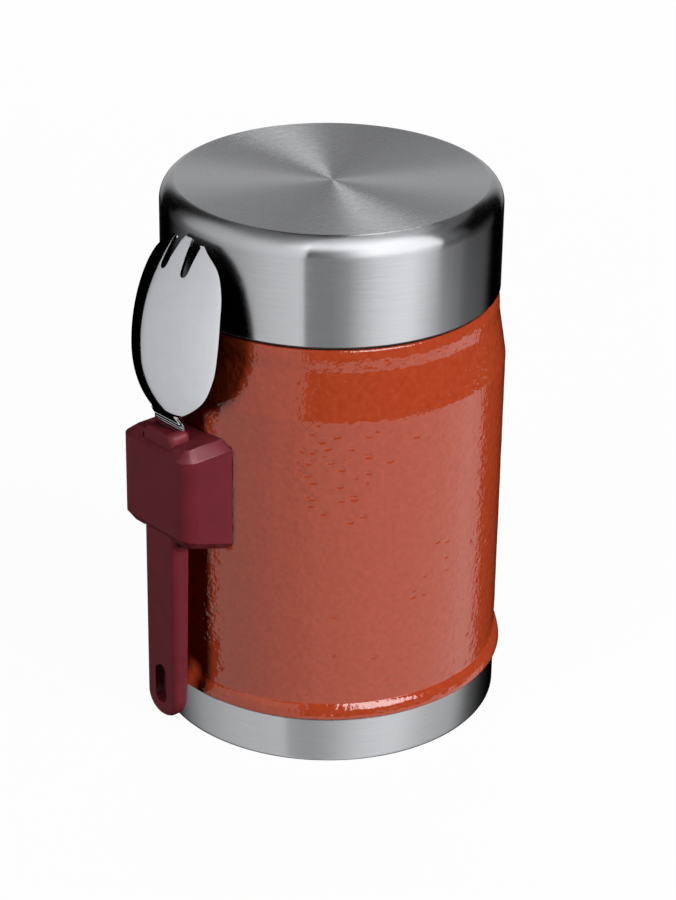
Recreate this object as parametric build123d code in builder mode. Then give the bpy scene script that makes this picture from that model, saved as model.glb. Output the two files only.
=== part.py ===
from build123d import *

import os
from math import radians, sqrt, tan

# Insulated food jar: a double-walled steel jar with a screw-on cup lid, a screw-in stopper under it,
# and a spork that hangs in a holder on the jar's side. Millimetres. The jar's axis is Z, its foot
# stands at Z = 0 and the spork holder faces -Y.

# ---------------------------------------------------------------- driving sizes: jar
total_height = 142.0
body_radius = 44.45
sheet = 0.6  # steel sheet of the outer shell, the lid and the base cup
lid_rise = 28.2  # from the ledge that carries the lid's gasket to the lid's top
ledge_rounding = 0.8
band_rise = 7.2  # from the shoulder to the ledge
band_step = 2.0  # how far the neck band lies inside the body
shoulder_rise = 10.6
shoulder_rounding = 6.0
bead_low = 13.4
bead_height = 4.9
bead_step = 1.4  # how far the bead stands out of the body
bead_rounding = 1.9
base_cup_step = 0.05  # how far the base cup stands out of the body
base_rounding = 1.6
base_groove_radius = 27.0  # ring stamped in the foot
base_groove_width = 8.0
base_groove_depth = 0.5

# ---------------------------------------------------------------- driving sizes: vessel
vessel_sheet = 0.5
vacuum_gap = 5.35  # between the vessel and the outer shell
neck_gap = 0.6  # the same within the neck
vessel_floor = 11.0
vessel_corner = 8.0
vessel_shoulder_drop = 7.3  # below the ledge
vessel_shoulder_rise = 2.5
foil_thickness = 0.15
foil_margin = 6.0  # bare vessel above the foil
vacuum_bottom_height = 3.0
vacuum_bottom_rim = 4.0
pump_hole_radius = 1.2
seal_radius = 3.0
seal_height = 1.0
getter_radius = 6.0
getter_thickness = 1.6
getter_offset = 20.0
getter_clip_width = 6.0
getter_clip_foot = 3.0

# ---------------------------------------------------------------- driving sizes: lid
lid_step = 0.05  # how far the lid stands out of the neck band
lid_corner = 5.9
lid_dish = 1.0
lid_liner_wall = 1.6
lid_liner_corner = 3.0
lid_insulation_thickness = 2.6
lid_insulation_inset = 2.6  # from the rim of the lid's dished top
lid_gasket_height = 1.3

# ---------------------------------------------------------------- driving sizes: threads
lid_lead = 16.0
lid_starts = 4
lid_ridge_turn = 70.0  # degrees of each ridge
neck_ridge_rise = 5.7  # above the ledge
stopper_lead = 12.0
stopper_starts = 3
stopper_ridge_turn = 80.0
mouth_ridge_drop = 10.4  # below the lip
ridge_height = 1.3  # how far a ridge stands out of its wall
ridge_root = 1.5  # along the axis, at the wall
ridge_crest = 0.7  # along the axis, at the crest
ridge_bite = 0.25  # how far a ridge is rooted in its wall

# ---------------------------------------------------------------- driving sizes: stopper
stopper_depth = 18.0  # below the jar's lip
stopper_wall = 1.6
stopper_floor = 1.8
stopper_rounding = 1.5
stopper_flange = 2.0
flange_rounding = 0.7
stopper_flange_inset = 0.3  # the flange is that much smaller than the neck
stopper_gasket_height = 1.1
stopper_cap_thickness = 1.6
finger_bar_length = 58.0
finger_bar_width = 16.0
finger_bar_height = 3.8
finger_bar_rounding = 1.3
hub_wall = 1.4
button_radius = 5.0
button_proud = 0.6
button_head = 3.6
stem_radius = 1.5
vent_radius = 2.0
vent_seal_radius = 4.0
vent_seal_thickness = 1.3
barb_radius = 1.9
barb_height = 0.8
barb_rounding = 0.3
spring_wire = 0.6
spring_turns = 5
spring_length = 8.2

# ---------------------------------------------------------------- driving sizes: holder and rail
holder_width = 26.0
holder_drop = 8.6  # below the shoulder
holder_height = 25.2  # at its front
holder_cover = 1.6  # in front of the handle
holder_slope = 18.4  # degrees, its underside falls towards the jar
holder_corner = 4.0
holder_chamfer_across = 3.0
holder_chamfer_down = 2.3
holder_bottom_chamfer = 2.0
rail_drop = 7.4  # below the holder's top
rail_length = 15.5
rail_stem_width = 6.0
rail_stem_depth = 1.5
rail_flange_width = 12.0
rail_flange_depth = 1.2

# ---------------------------------------------------------------- driving sizes: spork
handle_width = 11.8
handle_rise = 2.4  # above the holder
handle_low = 9.0
handle_top_thickness = 6.2
handle_low_thickness = 4.4
handle_edge = 1.5
handle_top_corner = 2.5
lanyard_width = 4.4
lanyard_height = 11.0
lanyard_rise = 9.5  # of its middle above the handle's end
spork_sheet = 0.9
tab_rise = 4.2  # from the handle to the bowl's foot
bowl_step = 1.0  # how far the bowl's crest stands in front of the handle
crest_rise = 12.4  # above the bowl's foot, as are the three heights of the tines
bowl_lower_radius = 28.2  # along the bowl, below its crest
bowl_upper_radius = 46.9  # along the bowl, above its crest
bowl_cross_radius = 23.8  # across the bowl
# the bowl's half width at heights above its foot, up to the shoulder of the outer tine
bowl_half_widths = [(9.6, 3.0), (13.5, 7.0), (15.7, 13.0), (16.1, 20.0), (15.4, 27.0), (14.0, 33.0),
                    (11.3, 38.0)]
centre_tine_rise = 43.2
centre_tine_half = 1.1
outer_tine_rise = 42.4
outer_tine_offset = 5.3
outer_tine_half = 0.3
tine_slot_rise = 36.0
tine_slot_offset = 3.75
tine_slot_width = 0.9  # at its root
tab_half_width = 4.9
tang_width = 7.0
tang_length = 34.0

# ---------------------------------------------------------------- named clearances
lid_gap = 0.35  # lid's lower edge above the ledge
press_gap = 0.1  # between pieces that are pressed or glued together
seat_gap = 0.05  # between a seal and its seat
weld_gap = 0.05
thread_gap = 0.3
wall_gap = 0.3  # between the holder and the jar's wall
slide_gap = 0.3  # around the handle in the holder
rail_gap = 0.15
bead_gap = 0.4  # between the base cup's edge and the bead
button_gap = 0.2
button_headroom = 0.4  # between the button and the lid's liner
tine_gap = 1.77  # between the tines' tips and the lid
past_surface = 1.0  # how far a cutting shape passes the surface it cuts

# ---------------------------------------------------------------- heights, from the lid's top down
ledge_height = total_height - lid_rise
shoulder_high = ledge_height - band_rise
shoulder_low = shoulder_high - shoulder_rise
foam_high = total_height - lid_dish - sheet - press_gap
foam_low = foam_high - lid_insulation_thickness
liner_top = foam_low - press_gap
liner_ceiling = liner_top - lid_liner_wall
button_top = liner_ceiling - button_headroom
bar_top = button_top - button_proud
flange_top = bar_top - finger_bar_height
flange_low = flange_top - stopper_flange
lip_height = flange_low - stopper_gasket_height - 2 * seat_gap
neck_ridge_low = ledge_height + neck_ridge_rise
mouth_ridge_low = lip_height - mouth_ridge_drop

# ---------------------------------------------------------------- radii, from the body inwards
neck_band_radius = body_radius - band_step
lid_radius = neck_band_radius + lid_step
liner_outside = lid_radius - sheet - press_gap
liner_inside = liner_outside - lid_liner_wall
threaded_neck_radius = liner_inside - thread_gap - ridge_height
vessel_mouth_radius = threaded_neck_radius - sheet - neck_gap - vessel_sheet
vessel_radius = body_radius - sheet - vacuum_gap - vessel_sheet

# ---------------------------------------------------------------- holder and spork, from these
holder_top = shoulder_low - holder_drop
handle_top = holder_top + handle_rise
bowl_foot = handle_top + tab_rise
crest_height = bowl_foot + crest_rise
tine_rise = centre_tine_rise - crest_rise
tine_setback = bowl_upper_radius - sqrt(bowl_upper_radius**2 - tine_rise**2)
bowl_front = lid_radius + tine_gap + spork_sheet + tine_setback
handle_front = bowl_front - bowl_step
holder_front = handle_front + holder_cover

os.makedirs("parts", exist_ok=True)


def outline(*points):
    """A closed line through (across, up) points. A third number rounds that corner."""
    corners = [point[:2] for point in points]
    roundings = [point[2] if len(point) > 2 else 0 for point in points]
    return FilletPolyline(*corners, radius=roundings, close=True)


def save(block, name):
    """Label a finished piece and write it to its file."""
    block.part.label = name
    export_step(block.part, f"parts/{name}.step")


def thread_ridge(wall, outward, lead, turn, low):
    """One ridge of a thread with several starts, rooted in a round wall and standing out of it."""
    side = 1 if outward else -1
    with BuildPart() as one_ridge:
        with BuildLine() as path:
            Helix(pitch=lead, height=lead * turn / 360, radius=wall, center=(0, 0, low))
        with BuildSketch(Plane(origin=path.line @ 0, x_dir=(1, 0, 0), z_dir=path.line % 0)):
            with BuildLine():
                Polyline(
                    (-side * ridge_bite, -ridge_root / 2),
                    (side * ridge_height, -ridge_crest / 2),
                    (side * ridge_height, ridge_crest / 2),
                    (-side * ridge_bite, ridge_root / 2),
                    close=True,
                )
            make_face()
        sweep(is_frenet=True)
    return one_ridge.part


# ================================================================ jar
# Outer shell: one drawn steel tube. It carries the shoulder, the ledge and the threaded neck, and a
# bead is rolled out of it near the foot. Below the bead it is a stub inside the base cup.
shell_inside = body_radius - sheet
bead_radius = body_radius + bead_step
bead_high = bead_low + bead_height
base_cup_radius = body_radius + base_cup_step
stub_radius = base_cup_radius - sheet - press_gap
stub_inside = stub_radius - sheet
stub_low = base_groove_depth + sheet + press_gap
neck_inside = threaded_neck_radius - sheet
shell_lip = lip_height - vessel_sheet - weld_gap
ledge_under = ledge_height - sheet

neck_ridge = thread_ridge(threaded_neck_radius, True, lid_lead, lid_ridge_turn, neck_ridge_low)

with BuildPart() as outer_shell:
    with BuildSketch(Plane.XZ):
        with BuildLine():
            outline(
                (stub_inside, stub_low),
                (stub_radius, stub_low),
                (stub_radius, bead_low),
                (bead_radius, bead_low, bead_rounding / 2),
                (bead_radius, bead_high - bead_rounding / 2, bead_rounding),
                (body_radius, bead_high),
                (body_radius, shoulder_low, shoulder_rounding),
                (neck_band_radius, shoulder_high, shoulder_rounding / 2),
                (neck_band_radius, ledge_height, ledge_rounding),
                (threaded_neck_radius, ledge_height),
                (threaded_neck_radius, shell_lip),
                (neck_inside, shell_lip),
                (neck_inside, ledge_under),
                (neck_band_radius - sheet, ledge_under),
                (neck_band_radius - sheet, shoulder_high, shoulder_rounding / 2),
                (shell_inside, shoulder_low, shoulder_rounding),
                (shell_inside, bead_high),
                (stub_inside, bead_low),
            )
        make_face()
    revolve(axis=Axis.Z)
    with PolarLocations(0, lid_starts):
        add(neck_ridge)
save(outer_shell, "outer_shell")

# Base cup: bare steel, pressed over the stub up to the bead. A ring is stamped up into its floor.
base_cup_top = bead_low - bead_gap
groove_inner = base_groove_radius - base_groove_width / 2
groove_outer = base_groove_radius + base_groove_width / 2

with BuildPart() as base_cup:
    with BuildSketch(Plane.XZ):
        with BuildLine():
            outline(
                (0, 0),
                (groove_inner, 0),
                (groove_inner + base_groove_depth, base_groove_depth),
                (groove_outer - base_groove_depth, base_groove_depth),
                (groove_outer, 0),
                (base_cup_radius, 0, base_rounding),
                (base_cup_radius, base_cup_top),
                (base_cup_radius - sheet, base_cup_top),
                (base_cup_radius - sheet, sheet, base_rounding - sheet),
                (groove_outer, sheet),
                (groove_outer - base_groove_depth, base_groove_depth + sheet),
                (groove_inner + base_groove_depth, base_groove_depth + sheet),
                (groove_inner, sheet),
                (0, sheet),
            )
        make_face()
    revolve(axis=Axis.Z)
save(base_cup, "base_cup")

# Inner vessel: drawn steel, hung by its rolled lip from the top of the outer shell's neck. The
# stopper's thread is formed in its mouth.
mouth_ridge = thread_ridge(vessel_mouth_radius, False, stopper_lead, stopper_ridge_turn, mouth_ridge_low)
vessel_outside = vessel_radius + vessel_sheet
mouth_outside = vessel_mouth_radius + vessel_sheet
vessel_shoulder = ledge_height - vessel_shoulder_drop
vessel_shoulder_top = vessel_shoulder + vessel_shoulder_rise

with BuildPart() as inner_vessel:
    with BuildSketch(Plane.XZ):
        with BuildLine():
            outline(
                (0, vessel_floor - vessel_sheet),
                (vessel_outside, vessel_floor - vessel_sheet, vessel_corner + vessel_sheet),
                (vessel_outside, vessel_shoulder),
                (mouth_outside, vessel_shoulder_top),
                (mouth_outside, lip_height - vessel_sheet),
                (threaded_neck_radius, lip_height - vessel_sheet),
                (threaded_neck_radius, lip_height),
                (vessel_mouth_radius, lip_height),
                (vessel_mouth_radius, vessel_shoulder_top),
                (vessel_radius, vessel_shoulder),
                (vessel_radius, vessel_floor, vessel_corner),
                (0, vessel_floor),
            )
        make_face()
    revolve(axis=Axis.Z)
    with PolarLocations(0, stopper_starts):
        add(mouth_ridge)
save(inner_vessel, "inner_vessel")

# Reflective foil: wrapped round the vessel inside the vacuum gap.
foil_inside = vessel_outside + press_gap
foil_low = vessel_floor + vessel_corner

with BuildPart() as reflective_foil:
    with BuildSketch(Plane.XY.offset(foil_low)):
        Circle(foil_inside + foil_thickness)
        Circle(foil_inside, mode=Mode.SUBTRACT)
    extrude(amount=vessel_shoulder - foil_margin - foil_low)
save(reflective_foil, "reflective_foil")

# Vacuum bottom: steel cap welded into the stub. The jar is pumped out through its centre hole.
vacuum_bottom_radius = stub_inside - weld_gap
vacuum_bottom_top = vacuum_bottom_height + sheet

with BuildPart() as vacuum_bottom:
    with BuildSketch(Plane.XZ):
        with BuildLine():
            outline(
                (pump_hole_radius, vacuum_bottom_height),
                (vacuum_bottom_radius, vacuum_bottom_height, base_rounding),
                (vacuum_bottom_radius, vacuum_bottom_height + vacuum_bottom_rim),
                (vacuum_bottom_radius - sheet, vacuum_bottom_height + vacuum_bottom_rim),
                (vacuum_bottom_radius - sheet, vacuum_bottom_top, base_rounding - sheet),
                (pump_hole_radius, vacuum_bottom_top),
            )
        make_face()
    revolve(axis=Axis.Z)
save(vacuum_bottom, "vacuum_bottom")

# Vacuum seal: bead of solder glass that closes the pump-out hole from outside.
glass_top = vacuum_bottom_height - weld_gap
with BuildPart() as vacuum_seal:
    with BuildSketch(Plane.XZ):
        with BuildLine():
            outline(
                (0, glass_top - seal_height),
                (seal_radius, glass_top - seal_height, seal_height / 2),
                (seal_radius, glass_top),
                (0, glass_top),
            )
        make_face()
    revolve(axis=Axis.Z)
save(vacuum_seal, "vacuum_seal")

# Getter: pellet on the vacuum bottom that binds the last gas, under a steel clip welded beside it.
getter_low = vacuum_bottom_top + weld_gap
getter_top = getter_low + getter_thickness

with BuildPart() as getter:
    with BuildSketch(Plane.XY.offset(getter_low)):
        with Locations((getter_offset, 0)):
            Circle(getter_radius)
    extrude(amount=getter_thickness)
save(getter, "getter")

clip_reach = getter_radius + press_gap + sheet
clip_end = clip_reach + getter_clip_foot
clip_under = getter_top + press_gap

with BuildPart() as getter_clip:
    with BuildSketch(Plane.XZ.offset(-getter_clip_width / 2)):
        with BuildLine():
            Polyline(
                (getter_offset - clip_end, getter_low),
                (getter_offset - clip_reach + sheet, getter_low),
                (getter_offset - clip_reach + sheet, clip_under),
                (getter_offset + clip_reach - sheet, clip_under),
                (getter_offset + clip_reach - sheet, getter_low),
                (getter_offset + clip_end, getter_low),
                (getter_offset + clip_end, getter_low + sheet),
                (getter_offset + clip_reach, getter_low + sheet),
                (getter_offset + clip_reach, clip_under + sheet),
                (getter_offset - clip_reach, clip_under + sheet),
                (getter_offset - clip_reach, getter_low + sheet),
                (getter_offset - clip_end, getter_low + sheet),
                close=True,
            )
        make_face()
    extrude(amount=getter_clip_width)
save(getter_clip, "getter_clip")

# Holder rail: a steel T-section welded to the shell. The spork holder is pushed down onto it.
rail_front = body_radius + weld_gap + rail_stem_depth + rail_flange_depth
rail_high = holder_top - rail_drop

with BuildPart() as holder_rail:
    with BuildSketch(Plane.XY.offset(rail_high - rail_length)):
        with Locations((0, -(rail_front - rail_flange_depth / 2))):
            Rectangle(rail_flange_width, rail_flange_depth)
        with Locations((0, -(rail_front + body_radius - past_surface) / 2)):
            Rectangle(rail_stem_width, rail_front - body_radius + past_surface)
        Circle(body_radius + weld_gap, mode=Mode.SUBTRACT)
    extrude(amount=rail_length)
save(holder_rail, "holder_rail")

# ================================================================ cup lid
# Lid shell: drawn steel cup, turned on its slightly dished top and brushed round its side.
lid_low = ledge_height + lid_gap
lid_inside = lid_radius - sheet
lid_underside = total_height - sheet
lid_corner_low = total_height - lid_corner
dish_radius = lid_radius - lid_corner
dish_sphere = (dish_radius**2 + lid_dish**2) / (2 * lid_dish)

with BuildPart() as lid_shell:
    with BuildSketch(Plane.XZ):
        with BuildLine():
            Line((lid_inside, lid_low), (lid_radius, lid_low))
            Line((lid_radius, lid_low), (lid_radius, lid_corner_low))
            RadiusArc((lid_radius, lid_corner_low), (dish_radius, total_height), -lid_corner)
            RadiusArc((dish_radius, total_height), (0, total_height - lid_dish), dish_sphere)
            Line((0, total_height - lid_dish), (0, lid_underside - lid_dish))
            RadiusArc((0, lid_underside - lid_dish), (dish_radius, lid_underside), -dish_sphere)
            RadiusArc((dish_radius, lid_underside), (lid_inside, lid_corner_low), lid_corner - sheet)
            Line((lid_inside, lid_corner_low), (lid_inside, lid_low))
        make_face()
    revolve(axis=Axis.Z)
save(lid_shell, "lid_shell")

# Lid liner: moulded lining, glued into the shell, with the thread that grips the neck.
liner_low = ledge_height + seat_gap + lid_gasket_height + seat_gap
liner_ridge_low = neck_ridge_low - ridge_root - thread_gap
liner_ridge = thread_ridge(liner_inside, False, lid_lead, lid_ridge_turn, liner_ridge_low)

with BuildPart() as lid_liner:
    with BuildSketch(Plane.XZ):
        with BuildLine():
            outline(
                (0, liner_ceiling),
                (liner_inside, liner_ceiling, lid_liner_corner),
                (liner_inside, liner_low),
                (liner_outside, liner_low),
                (liner_outside, liner_top, lid_liner_corner + lid_liner_wall),
                (0, liner_top),
            )
        make_face()
    revolve(axis=Axis.Z)
    with PolarLocations(0, lid_starts):
        add(liner_ridge)
save(lid_liner, "lid_liner")

# Lid insulation: foam disc that fills the space between the shell's top and the liner.
with BuildPart() as lid_insulation:
    with BuildSketch(Plane.XY.offset(foam_low)):
        Circle(dish_radius - lid_insulation_inset)
    extrude(amount=lid_insulation_thickness)
save(lid_insulation, "lid_insulation")

# Lid gasket: ring under the liner's rim that seals the lid on the ledge. It lifts with the lid.
with BuildPart() as lid_gasket:
    with BuildSketch(Plane.XY.offset(ledge_height + seat_gap)):
        Circle(liner_outside - press_gap)
        Circle(liner_inside + press_gap, mode=Mode.SUBTRACT)
    extrude(amount=lid_gasket_height)
save(lid_gasket, "lid_gasket")

# ================================================================ stopper
# Stopper body: moulded cup with a hub for the vent and a thread round its skirt.
skirt_radius = vessel_mouth_radius - ridge_height - thread_gap
skirt_inside = skirt_radius - stopper_wall
stopper_low = lip_height - stopper_depth
flange_radius = threaded_neck_radius - stopper_flange_inset
bore_radius = button_radius + button_gap
hub_radius = bore_radius + hub_wall
head_low = button_top - button_head
bore_floor = head_low - spring_length - 2 * seat_gap
stopper_ridge_low = mouth_ridge_low - ridge_root - thread_gap
stopper_ridge = thread_ridge(skirt_radius, True, stopper_lead, stopper_ridge_turn, stopper_ridge_low)

with BuildPart() as stopper_body:
    with BuildSketch(Plane.XZ):
        with BuildLine():
            outline(
                (vent_radius, stopper_low),
                (skirt_radius, stopper_low, stopper_rounding),
                (skirt_radius, flange_low),
                (flange_radius, flange_low),
                (flange_radius, flange_top, flange_rounding),
                (skirt_inside, flange_top),
                (skirt_inside, stopper_low + stopper_floor),
                (hub_radius, stopper_low + stopper_floor),
                (hub_radius, flange_top),
                (bore_radius, flange_top),
                (bore_radius, bore_floor),
                (vent_radius, bore_floor),
            )
        make_face()
    revolve(axis=Axis.Z)
    with PolarLocations(0, stopper_starts):
        add(stopper_ridge)
save(stopper_body, "stopper_body")

# Stopper insulation: foam ring between the hub and the skirt.
cap_low = flange_top - stopper_cap_thickness
stopper_foam_low = stopper_low + stopper_floor + press_gap

with BuildPart() as stopper_insulation:
    with BuildSketch(Plane.XY.offset(stopper_foam_low)):
        Circle(skirt_inside - press_gap)
        Circle(hub_radius + press_gap, mode=Mode.SUBTRACT)
    extrude(amount=cap_low - press_gap - stopper_foam_low)
save(stopper_insulation, "stopper_insulation")

# Stopper cap: cover welded into the body, with the bar that the fingers turn and the button's well.
with BuildPart() as stopper_cap:
    with BuildSketch(Plane.XY.offset(cap_low)):
        Circle(skirt_inside - press_gap)
        Circle(hub_radius + press_gap, mode=Mode.SUBTRACT)
    extrude(amount=stopper_cap_thickness)
    with BuildSketch(Plane.XY.offset(flange_top)):
        SlotOverall(finger_bar_length, finger_bar_width)
    extrude(amount=finger_bar_height)
    bar_rim = stopper_cap.faces().sort_by(Axis.Z)[-1].outer_wire().edges()
    fillet(bar_rim, radius=finger_bar_rounding)
    with BuildSketch(Plane.XY.offset(flange_top)):
        Circle(bore_radius)
    extrude(amount=finger_bar_height, mode=Mode.SUBTRACT)
save(stopper_cap, "stopper_cap")

# Stopper gasket: ring under the flange that seals on the jar's lip. It lifts with the stopper.
with BuildPart() as stopper_gasket:
    with BuildSketch(Plane.XY.offset(lip_height + seat_gap)):
        Circle(flange_radius - press_gap)
        Circle(skirt_radius + press_gap, mode=Mode.SUBTRACT)
    extrude(amount=stopper_gasket_height)
save(stopper_gasket, "stopper_gasket")

# Vent button: a press lowers the seal on its stem and lets the pressure out.
seal_top = stopper_low - seat_gap
seal_low = seal_top - vent_seal_thickness
stem_low = seal_low - seat_gap - barb_height

with BuildPart() as vent_button:
    with BuildSketch(Plane.XZ):
        with BuildLine():
            outline(
                (0, stem_low),
                (barb_radius, stem_low, barb_rounding),
                (barb_radius, stem_low + barb_height),
                (stem_radius, stem_low + barb_height),
                (stem_radius, head_low),
                (button_radius, head_low),
                (button_radius, button_top, button_proud),
                (0, button_top),
            )
        make_face()
    revolve(axis=Axis.Z)
save(vent_button, "vent_button")

# Vent seal: silicone disc held on the stem by the barb, drawn up against the stopper's floor.
with BuildPart() as vent_seal:
    with BuildSketch(Plane.XY.offset(seal_low)):
        Circle(vent_seal_radius)
        Circle(stem_radius + weld_gap, mode=Mode.SUBTRACT)
    extrude(amount=vent_seal_thickness)
save(vent_seal, "vent_seal")

# Vent spring: steel coil in the hub's bore that lifts the button.
spring_radius = (stem_radius + bore_radius) / 2
spring_low = bore_floor + seat_gap + spring_wire / 2
spring_rise = spring_length - spring_wire

with BuildPart() as vent_spring:
    with BuildLine() as coil:
        pitch = spring_rise / spring_turns
        Helix(pitch=pitch, height=spring_rise, radius=spring_radius, center=(0, 0, spring_low))
    with BuildSketch(Plane(origin=coil.line @ 0, x_dir=(1, 0, 0), z_dir=coil.line % 0)):
        Circle(spring_wire / 2)
    sweep(is_frenet=True)
save(vent_spring, "vent_spring")

# ================================================================ spork
# Spork handle: moulded grip, thinner towards its rounded lower end, with a slot for a lanyard.
handle_length = handle_top - handle_low
handle_draft = (handle_top_thickness - handle_low_thickness) / handle_length
tang_front = handle_front - (handle_top_thickness - spork_sheet) / 2
tang_low = handle_top - tang_length

with BuildPart() as spork_handle:
    with BuildSketch(Plane.YZ.offset(-handle_width / 2)):
        with BuildLine():
            Polyline(
                (-handle_front, handle_low),
                (-handle_front, handle_top),
                (-handle_front + handle_top_thickness, handle_top),
                (-handle_front + handle_low_thickness, handle_low),
                close=True,
            )
        make_face()
    extrude(amount=handle_width)
    with BuildSketch(Plane.XZ.offset(handle_front + past_surface)):
        with BuildLine():
            outline(
                (-handle_width / 2, handle_low, handle_width / 2 - weld_gap),
                (handle_width / 2, handle_low, handle_width / 2 - weld_gap),
                (handle_width / 2, handle_top, handle_top_corner),
                (-handle_width / 2, handle_top, handle_top_corner),
            )
        make_face()
    extrude(amount=-(handle_top_thickness + 2 * past_surface), mode=Mode.INTERSECT)
    front_face = spork_handle.faces().sort_by(Axis.Y)[0]
    fillet(front_face.edges(), radius=handle_edge)
    back_face = spork_handle.faces().filter_by(GeomType.PLANE).sort_by(SortBy.AREA)[-1]
    fillet(back_face.edges(), radius=handle_edge)
    with BuildSketch(Plane.XZ.offset(handle_front + past_surface)):
        with Locations((0, handle_low + lanyard_rise)):
            SlotOverall(lanyard_height, lanyard_width, rotation=90)
    extrude(amount=-(handle_top_thickness + 2 * past_surface), mode=Mode.SUBTRACT)
    with BuildSketch(Plane.XY.offset(tang_low - weld_gap)):
        with Locations((0, -(tang_front - spork_sheet / 2))):
            Rectangle(tang_width + 2 * weld_gap, spork_sheet + 2 * weld_gap)
    extrude(amount=tang_length + past_surface, mode=Mode.SUBTRACT)
save(spork_handle, "spork_handle")

# Spork holder: moulded block on the rail, hollowed for the jar's wall, with a tapered slot right
# through it in which the handle wedges.
holder_back = body_radius + wall_gap
holder_root = holder_back / 2  # the block starts inside the jar and is cut back to its wall
slope = tan(radians(holder_slope))
holder_front_bottom = holder_top - holder_height
root_bottom = holder_front_bottom - (holder_front - holder_root) * slope
holder_low = root_bottom - past_surface
pocket_back = handle_front - handle_top_thickness - slide_gap
pocket_front = handle_front + slide_gap
pocket_width = handle_width + 2 * slide_gap

with BuildPart() as pocket:
    with BuildSketch(Plane.YZ.offset(-pocket_width / 2)):
        with BuildLine():
            Polyline(
                (-pocket_front, 0),
                (-pocket_front, total_height),
                (-pocket_back - (handle_top - total_height) * handle_draft, total_height),
                (-pocket_back - handle_top * handle_draft, 0),
                close=True,
            )
        make_face()
    extrude(amount=pocket_width)
    upright = pocket.edges().filter_by(lambda edge: abs((edge % 0.5).Z) > 0.9)
    fillet(upright, radius=handle_edge + slide_gap)

with BuildPart() as spork_holder:
    with BuildSketch(Plane.XY.offset(holder_low)):
        with Locations((0, -(holder_front + holder_root) / 2)):
            RectangleRounded(holder_width, holder_front - holder_root, holder_corner)
    extrude(amount=holder_top - holder_low)
    with BuildSketch(Plane.YZ.offset(-holder_width)):
        with BuildLine():
            Polyline(
                (-holder_front - past_surface, holder_low - past_surface),
                (-holder_front - past_surface, holder_front_bottom + past_surface * slope),
                (-holder_front, holder_front_bottom),
                (-holder_root, root_bottom),
                (-holder_root, holder_low - past_surface),
                close=True,
            )
        make_face()
    extrude(amount=2 * holder_width, mode=Mode.SUBTRACT)
    under_edges = spork_holder.faces().sort_by(Axis.Z)[0].edges()
    chamfer(under_edges, length=holder_bottom_chamfer)
    top_face = spork_holder.faces().sort_by(Axis.Z)[-1]
    chamfer(top_face.edges(), holder_chamfer_across, holder_chamfer_down, reference=top_face)
    with BuildSketch(Plane.XY):
        Circle(holder_back)
    extrude(amount=total_height, mode=Mode.SUBTRACT)
    add(pocket, mode=Mode.SUBTRACT)
    # channel for the rail, open below
    with BuildSketch(Plane.XY):
        with Locations((0, -(rail_front - rail_flange_depth / 2))):
            Rectangle(rail_flange_width + 2 * rail_gap, rail_flange_depth + 2 * rail_gap)
        with Locations((0, -rail_front / 2)):
            Rectangle(rail_stem_width + 2 * rail_gap, rail_front)
    extrude(amount=rail_high + rail_gap, mode=Mode.SUBTRACT)
save(spork_holder, "spork_holder")

# Spork head: polished steel sheet, pressed into a bowl whose hollow faces the jar, with three tines
# above it and a tang that is moulded into the handle.
section_half = max(bowl_half_widths)[0] + past_surface
patch_turn = 60  # degrees, past the bowl's foot and its tines


def bowl_patch(along_radius, turn):
    """The pressed sheet above or below the bowl's crest: a crescent turned about a level axis."""
    with BuildPart() as patch:
        with BuildSketch(Plane.XY.offset(crest_height)):
            with Locations((0, bowl_cross_radius - bowl_front)):
                Circle(bowl_cross_radius)
                Circle(bowl_cross_radius - spork_sheet, mode=Mode.SUBTRACT)
            with Locations((0, -bowl_front)):
                Rectangle(2 * section_half, bowl_cross_radius, mode=Mode.INTERSECT)
        pivot = Axis((0, along_radius - bowl_front, crest_height), (1, 0, 0))
        revolve(axis=pivot, revolution_arc=turn)
    return patch.part


lower_patch = bowl_patch(bowl_lower_radius, patch_turn)
upper_patch = bowl_patch(bowl_upper_radius, -patch_turn)
bowl_side = [(half, bowl_foot + rise) for half, rise in bowl_half_widths]
tine_outside = outer_tine_offset + outer_tine_half
tine_inside = outer_tine_offset - outer_tine_half
slot_left = tine_slot_offset - tine_slot_width / 2
slot_right = tine_slot_offset + tine_slot_width / 2
centre_tine_tip = bowl_foot + centre_tine_rise
outer_tine_tip = bowl_foot + outer_tine_rise
tine_slot_root = bowl_foot + tine_slot_rise
crease_front = bowl_front - bowl_lower_radius + sqrt(bowl_lower_radius**2 - crest_rise**2)

with BuildPart() as spork_head:
    add(lower_patch)
    add(upper_patch)
    with BuildSketch(Plane.XZ):
        with BuildLine():
            Line((0, bowl_foot), (tab_half_width, bowl_foot))
            Spline((tab_half_width, bowl_foot), *bowl_side, (tine_outside, outer_tine_tip))
            Line((tine_outside, outer_tine_tip), (tine_inside, outer_tine_tip))
            Line((tine_inside, outer_tine_tip), (slot_right, tine_slot_root))
            ThreePointArc(
                (slot_right, tine_slot_root),
                (tine_slot_offset, tine_slot_root - tine_slot_width / 2),
                (slot_left, tine_slot_root),
            )
            Polyline((slot_left, tine_slot_root), (centre_tine_half, centre_tine_tip), (0, centre_tine_tip))
            mirror(about=Plane.YZ)
        make_face()
    extrude(amount=holder_front + past_surface, mode=Mode.INTERSECT)
    with BuildSketch(Plane.YZ.offset(-tab_half_width)):
        with BuildLine():
            Polyline(
                (-tang_front, handle_top + seat_gap),
                (-crease_front, bowl_foot),
                (-crease_front + spork_sheet, bowl_foot + spork_sheet / 2),
                (-tang_front + spork_sheet, handle_top + seat_gap),
                close=True,
            )
        make_face()
    extrude(amount=2 * tab_half_width)
    with BuildSketch(Plane.XY.offset(tang_low)):
        with Locations((0, -(tang_front - spork_sheet / 2))):
            Rectangle(tang_width, spork_sheet)
    extrude(amount=handle_top + seat_gap - tang_low)
save(spork_head, "spork_head")
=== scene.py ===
import math

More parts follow.
